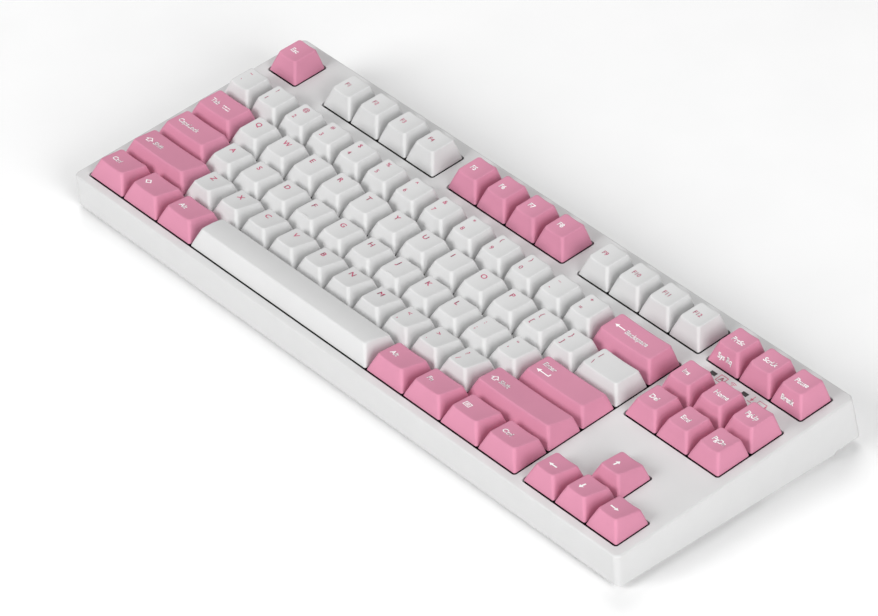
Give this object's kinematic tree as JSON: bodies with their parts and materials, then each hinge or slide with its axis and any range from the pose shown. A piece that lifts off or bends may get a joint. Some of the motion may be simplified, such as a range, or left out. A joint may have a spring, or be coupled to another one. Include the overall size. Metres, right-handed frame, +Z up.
{
  "type": "mechanical keyboard",
  "caption": "Compact mechanical keyboard with sculpted caps on sprung switches, a shallow moulded case, fold-out rear feet, a rear charging socket and a built-in battery.",
  "frame": {"origin": "middle of the footprint, on the surface that the rubber pads rest on", "axes": "+X to the right as seen by the typist, +Y away from the typist, +Z up; the key deck is tilted 3.5 degrees about X, rising towards +Y, and keys travel along the deck normal"},
  "size_m": [0.359, 0.1404, 0.036],
  "materials": {
    "case_plastic": "fine matt texture, off-white ABS",
    "cap_white": "lightly textured PBT, white",
    "cap_pink": "lightly textured PBT, pink",
    "plate_steel": "black powder coat",
    "foam": "closed-cell foam",
    "board": "solder-masked glass-fibre board",
    "components": "moulded component bodies",
    "switch_plastic": "black moulded nylon",
    "spring_steel": "bright spring steel",
    "contact_metal": "gold-flashed copper alloy",
    "connector_steel": "plated steel",
    "lens": "smoked clear plastic",
    "screw_steel": "black zinc",
    "rubber": "moulded rubber",
    "battery_wrap": "heat-shrunk film over pouch cells"
  },
  "bodies": {
    "keyboard_case": {"top_case": "case_plastic", "bottom_case": "case_plastic", "switch_plate": "plate_steel", "sound_pad": "foam", "circuit_board": "board", "board_components": "components", "switch_lower_housings": "switch_plastic", "switch_upper_housings": "switch_plastic", "switch_springs": "spring_steel", "switch_contacts": "contact_metal", "stabilizer_housings": "switch_plastic", "usb_socket": "connector_steel", "indicator_lenses": "lens", "case_screws": "screw_steel", "plate_screws": "screw_steel", "battery_cells": "battery_wrap", "rubber_pads": "rubber"},
    "left_foot": {"left_foot": "case_plastic", "left_foot_tip": "rubber"},
    "right_foot": {"right_foot": "case_plastic", "right_foot_tip": "rubber"},
    "escape_key": {"escape_key": "cap_pink"},
    "outer_function_keys": {"outer_function_keys": "cap_white"},
    "inner_function_keys": {"inner_function_keys": "cap_pink"},
    "print_screen_key": {"print_screen_key": "cap_pink"},
    "scroll_lock_key": {"scroll_lock_key": "cap_pink"},
    "pause_key": {"pause_key": "cap_pink"},
    "number_row_keys": {"number_row_keys": "cap_white"},
    "backspace_key": {"backspace_key": "cap_pink"},
    "insert_key": {"insert_key": "cap_pink"},
    "home_key": {"home_key": "cap_pink"},
    "page_up_key": {"page_up_key": "cap_pink"},
    "tab_key": {"tab_key": "cap_pink"},
    "q_row_keys": {"q_row_keys": "cap_white"},
    "delete_key": {"delete_key": "cap_pink"},
    "end_key": {"end_key": "cap_pink"},
    "page_down_key": {"page_down_key": "cap_pink"},
    "caps_lock_key": {"caps_lock_key": "cap_pink"},
    "a_row_keys": {"a_row_keys": "cap_white"},
    "enter_key": {"enter_key": "cap_pink"},
    "left_shift_key": {"left_shift_key": "cap_pink"},
    "z_row_keys": {"z_row_keys": "cap_white"},
    "right_shift_key": {"right_shift_key": "cap_pink"},
    "up_arrow_key": {"up_arrow_key": "cap_pink"},
    "left_ctrl_key": {"left_ctrl_key": "cap_pink"},
    "left_system_key": {"left_system_key": "cap_pink"},
    "left_alt_key": {"left_alt_key": "cap_pink"},
    "space_bar": {"space_bar": "cap_white"},
    "right_alt_key": {"right_alt_key": "cap_pink"},
    "fn_key": {"fn_key": "cap_pink"},
    "menu_key": {"menu_key": "cap_pink"},
    "right_ctrl_key": {"right_ctrl_key": "cap_pink"},
    "left_arrow_key": {"left_arrow_key": "cap_pink"},
    "down_arrow_key": {"down_arrow_key": "cap_pink"},
    "right_arrow_key": {"right_arrow_key": "cap_pink"},
    "backspace_wire": {"backspace_wire": "spring_steel"},
    "enter_wire": {"enter_wire": "spring_steel"},
    "left_shift_wire": {"left_shift_wire": "spring_steel"},
    "right_shift_wire": {"right_shift_wire": "spring_steel"},
    "space_bar_wire": {"space_bar_wire": "spring_steel"}
  },
  "joints": [
    {"name": "left_foot_hinge", "type": "hinge", "parent": "keyboard_case", "child": "left_foot", "pos_m": [-0.1593, 0.06, 0.00275], "axis": [1, 0, 0], "range_deg": [0, 100]},
    {"name": "right_foot_hinge", "type": "hinge", "parent": "keyboard_case", "child": "right_foot", "pos_m": [0.1593, 0.06, 0.00275], "axis": [1, 0, 0], "range_deg": [0, 100]},
    {"name": "escape_press", "type": "slide", "parent": "keyboard_case", "child": "escape_key", "axis": [0, 0.061, -0.9981], "range_m": [0, 0.004], "stiffness_N_per_m": 100, "springref_m": -0.003, "deforming": ["switch_springs"]},
    {"name": "outer_function_press", "type": "slide", "parent": "keyboard_case", "child": "outer_function_keys", "axis": [0, 0.061, -0.9981], "range_m": [0, 0.004], "stiffness_N_per_m": 800, "springref_m": -0.003, "deforming": ["switch_springs"]},
    {"name": "inner_function_press", "type": "slide", "parent": "keyboard_case", "child": "inner_function_keys", "axis": [0, 0.061, -0.9981], "range_m": [0, 0.004], "stiffness_N_per_m": 400, "springref_m": -0.003, "deforming": ["switch_springs"]},
    {"name": "print_screen_press", "type": "slide", "parent": "keyboard_case", "child": "print_screen_key", "axis": [0, 0.061, -0.9981], "range_m": [0, 0.004], "stiffness_N_per_m": 100, "springref_m": -0.003, "deforming": ["switch_springs"]},
    {"name": "scroll_lock_press", "type": "slide", "parent": "keyboard_case", "child": "scroll_lock_key", "axis": [0, 0.061, -0.9981], "range_m": [0, 0.004], "stiffness_N_per_m": 100, "springref_m": -0.003, "deforming": ["switch_springs"]},
    {"name": "pause_press", "type": "slide", "parent": "keyboard_case", "child": "pause_key", "axis": [0, 0.061, -0.9981], "range_m": [0, 0.004], "stiffness_N_per_m": 100, "springref_m": -0.003, "deforming": ["switch_springs"]},
    {"name": "number_row_press", "type": "slide", "parent": "keyboard_case", "child": "number_row_keys", "axis": [0, 0.061, -0.9981], "range_m": [0, 0.004], "stiffness_N_per_m": 1300, "springref_m": -0.003, "deforming": ["switch_springs"]},
    {"name": "backspace_press", "type": "slide", "parent": "keyboard_case", "child": "backspace_key", "axis": [0, 0.061, -0.9981], "range_m": [0, 0.004], "stiffness_N_per_m": 160, "springref_m": -0.003, "deforming": ["switch_springs"]},
    {"name": "insert_press", "type": "slide", "parent": "keyboard_case", "child": "insert_key", "axis": [0, 0.061, -0.9981], "range_m": [0, 0.004], "stiffness_N_per_m": 100, "springref_m": -0.003, "deforming": ["switch_springs"]},
    {"name": "home_press", "type": "slide", "parent": "keyboard_case", "child": "home_key", "axis": [0, 0.061, -0.9981], "range_m": [0, 0.004], "stiffness_N_per_m": 100, "springref_m": -0.003, "deforming": ["switch_springs"]},
    {"name": "page_up_press", "type": "slide", "parent": "keyboard_case", "child": "page_up_key", "axis": [0, 0.061, -0.9981], "range_m": [0, 0.004], "stiffness_N_per_m": 100, "springref_m": -0.003, "deforming": ["switch_springs"]},
    {"name": "tab_press", "type": "slide", "parent": "keyboard_case", "child": "tab_key", "axis": [0, 0.061, -0.9981], "range_m": [0, 0.004], "stiffness_N_per_m": 100, "springref_m": -0.003, "deforming": ["switch_springs"]},
    {"name": "q_row_press", "type": "slide", "parent": "keyboard_case", "child": "q_row_keys", "axis": [0, 0.061, -0.9981], "range_m": [0, 0.004], "stiffness_N_per_m": 1300, "springref_m": -0.003, "deforming": ["switch_springs"]},
    {"name": "delete_press", "type": "slide", "parent": "keyboard_case", "child": "delete_key", "axis": [0, 0.061, -0.9981], "range_m": [0, 0.004], "stiffness_N_per_m": 100, "springref_m": -0.003, "deforming": ["switch_springs"]},
    {"name": "end_press", "type": "slide", "parent": "keyboard_case", "child": "end_key", "axis": [0, 0.061, -0.9981], "range_m": [0, 0.004], "stiffness_N_per_m": 100, "springref_m": -0.003, "deforming": ["switch_springs"]},
    {"name": "page_down_press", "type": "slide", "parent": "keyboard_case", "child": "page_down_key", "axis": [0, 0.061, -0.9981], "range_m": [0, 0.004], "stiffness_N_per_m": 100, "springref_m": -0.003, "deforming": ["switch_springs"]},
    {"name": "caps_lock_press", "type": "slide", "parent": "keyboard_case", "child": "caps_lock_key", "axis": [0, 0.061, -0.9981], "range_m": [0, 0.004], "stiffness_N_per_m": 100, "springref_m": -0.003, "deforming": ["switch_springs"]},
    {"name": "a_row_press", "type": "slide", "parent": "keyboard_case", "child": "a_row_keys", "axis": [0, 0.061, -0.9981], "range_m": [0, 0.004], "stiffness_N_per_m": 1100, "springref_m": -0.003, "deforming": ["switch_springs"]},
    {"name": "enter_press", "type": "slide", "parent": "keyboard_case", "child": "enter_key", "axis": [0, 0.061, -0.9981], "range_m": [0, 0.004], "stiffness_N_per_m": 160, "springref_m": -0.003, "deforming": ["switch_springs"]},
    {"name": "left_shift_press", "type": "slide", "parent": "keyboard_case", "child": "left_shift_key", "axis": [0, 0.061, -0.9981], "range_m": [0, 0.004], "stiffness_N_per_m": 160, "springref_m": -0.003, "deforming": ["switch_springs"]},
    {"name": "z_row_press", "type": "slide", "parent": "keyboard_case", "child": "z_row_keys", "axis": [0, 0.061, -0.9981], "range_m": [0, 0.004], "stiffness_N_per_m": 1000, "springref_m": -0.003, "deforming": ["switch_springs"]},
    {"name": "right_shift_press", "type": "slide", "parent": "keyboard_case", "child": "right_shift_key", "axis": [0, 0.061, -0.9981], "range_m": [0, 0.004], "stiffness_N_per_m": 160, "springref_m": -0.003, "deforming": ["switch_springs"]},
    {"name": "up_arrow_press", "type": "slide", "parent": "keyboard_case", "child": "up_arrow_key", "axis": [0, 0.061, -0.9981], "range_m": [0, 0.004], "stiffness_N_per_m": 100, "springref_m": -0.003, "deforming": ["switch_springs"]},
    {"name": "left_ctrl_press", "type": "slide", "parent": "keyboard_case", "child": "left_ctrl_key", "axis": [0, 0.061, -0.9981], "range_m": [0, 0.004], "stiffness_N_per_m": 100, "springref_m": -0.003, "deforming": ["switch_springs"]},
    {"name": "left_system_press", "type": "slide", "parent": "keyboard_case", "child": "left_system_key", "axis": [0, 0.061, -0.9981], "range_m": [0, 0.004], "stiffness_N_per_m": 100, "springref_m": -0.003, "deforming": ["switch_springs"]},
    {"name": "left_alt_press", "type": "slide", "parent": "keyboard_case", "child": "left_alt_key", "axis": [0, 0.061, -0.9981], "range_m": [0, 0.004], "stiffness_N_per_m": 100, "springref_m": -0.003, "deforming": ["switch_springs"]},
    {"name": "space_bar_press", "type": "slide", "parent": "keyboard_case", "child": "space_bar", "axis": [0, 0.061, -0.9981], "range_m": [0, 0.004], "stiffness_N_per_m": 160, "springref_m": -0.003, "deforming": ["switch_springs"]},
    {"name": "right_alt_press", "type": "slide", "parent": "keyboard_case", "child": "right_alt_key", "axis": [0, 0.061, -0.9981], "range_m": [0, 0.004], "stiffness_N_per_m": 100, "springref_m": -0.003, "deforming": ["switch_springs"]},
    {"name": "fn_press", "type": "slide", "parent": "keyboard_case", "child": "fn_key", "axis": [0, 0.061, -0.9981], "range_m": [0, 0.004], "stiffness_N_per_m": 100, "springref_m": -0.003, "deforming": ["switch_springs"]},
    {"name": "menu_press", "type": "slide", "parent": "keyboard_case", "child": "menu_key", "axis": [0, 0.061, -0.9981], "range_m": [0, 0.004], "stiffness_N_per_m": 100, "springref_m": -0.003, "deforming": ["switch_springs"]},
    {"name": "right_ctrl_press", "type": "slide", "parent": "keyboard_case", "child": "right_ctrl_key", "axis": [0, 0.061, -0.9981], "range_m": [0, 0.004], "stiffness_N_per_m": 100, "springref_m": -0.003, "deforming": ["switch_springs"]},
    {"name": "left_arrow_press", "type": "slide", "parent": "keyboard_case", "child": "left_arrow_key", "axis": [0, 0.061, -0.9981], "range_m": [0, 0.004], "stiffness_N_per_m": 100, "springref_m": -0.003, "deforming": ["switch_springs"]},
    {"name": "down_arrow_press", "type": "slide", "parent": "keyboard_case", "child": "down_arrow_key", "axis": [0, 0.061, -0.9981], "range_m": [0, 0.004], "stiffness_N_per_m": 100, "springref_m": -0.003, "deforming": ["switch_springs"]},
    {"name": "right_arrow_press", "type": "slide", "parent": "keyboard_case", "child": "right_arrow_key", "axis": [0, 0.061, -0.9981], "range_m": [0, 0.004], "stiffness_N_per_m": 100, "springref_m": -0.003, "deforming": ["switch_springs"]},
    {"name": "backspace_wire_hinge", "type": "hinge", "parent": "keyboard_case", "child": "backspace_wire", "pos_m": [0.09287, 0.02942, 0.02024], "axis": [1, 0, 0], "range_deg": [0, 24.35]},
    {"name": "enter_wire_hinge", "type": "hinge", "parent": "keyboard_case", "child": "enter_wire", "pos_m": [0.09049, -0.00861, 0.01791], "axis": [1, 0, 0], "range_deg": [0, 24.35]},
    {"name": "left_shift_wire_hinge", "type": "hinge", "parent": "keyboard_case", "child": "left_shift_wire", "pos_m": [-0.1524, -0.02763, 0.01675], "axis": [1, 0, 0], "range_deg": [0, 24.35]},
    {"name": "right_shift_wire_hinge", "type": "hinge", "parent": "keyboard_case", "child": "right_shift_wire", "pos_m": [0.08572, -0.02763, 0.01675], "axis": [1, 0, 0], "range_deg": [0, 24.35]},
    {"name": "space_bar_wire_hinge", "type": "hinge", "parent": "keyboard_case", "child": "space_bar_wire", "pos_m": [-0.04286, -0.04664, 0.01559], "axis": [1, 0, 0], "range_deg": [0, 24.35]}
  ],
  "couplings": [
    {"joint": "backspace_wire_hinge", "follows": "backspace_press", "rad_per_m": 104.94},
    {"joint": "enter_wire_hinge", "follows": "enter_press", "rad_per_m": 104.94},
    {"joint": "left_shift_wire_hinge", "follows": "left_shift_press", "rad_per_m": 104.94},
    {"joint": "right_shift_wire_hinge", "follows": "right_shift_press", "rad_per_m": 104.94},
    {"joint": "space_bar_wire_hinge", "follows": "space_bar_press", "rad_per_m": 104.94}
  ]
}
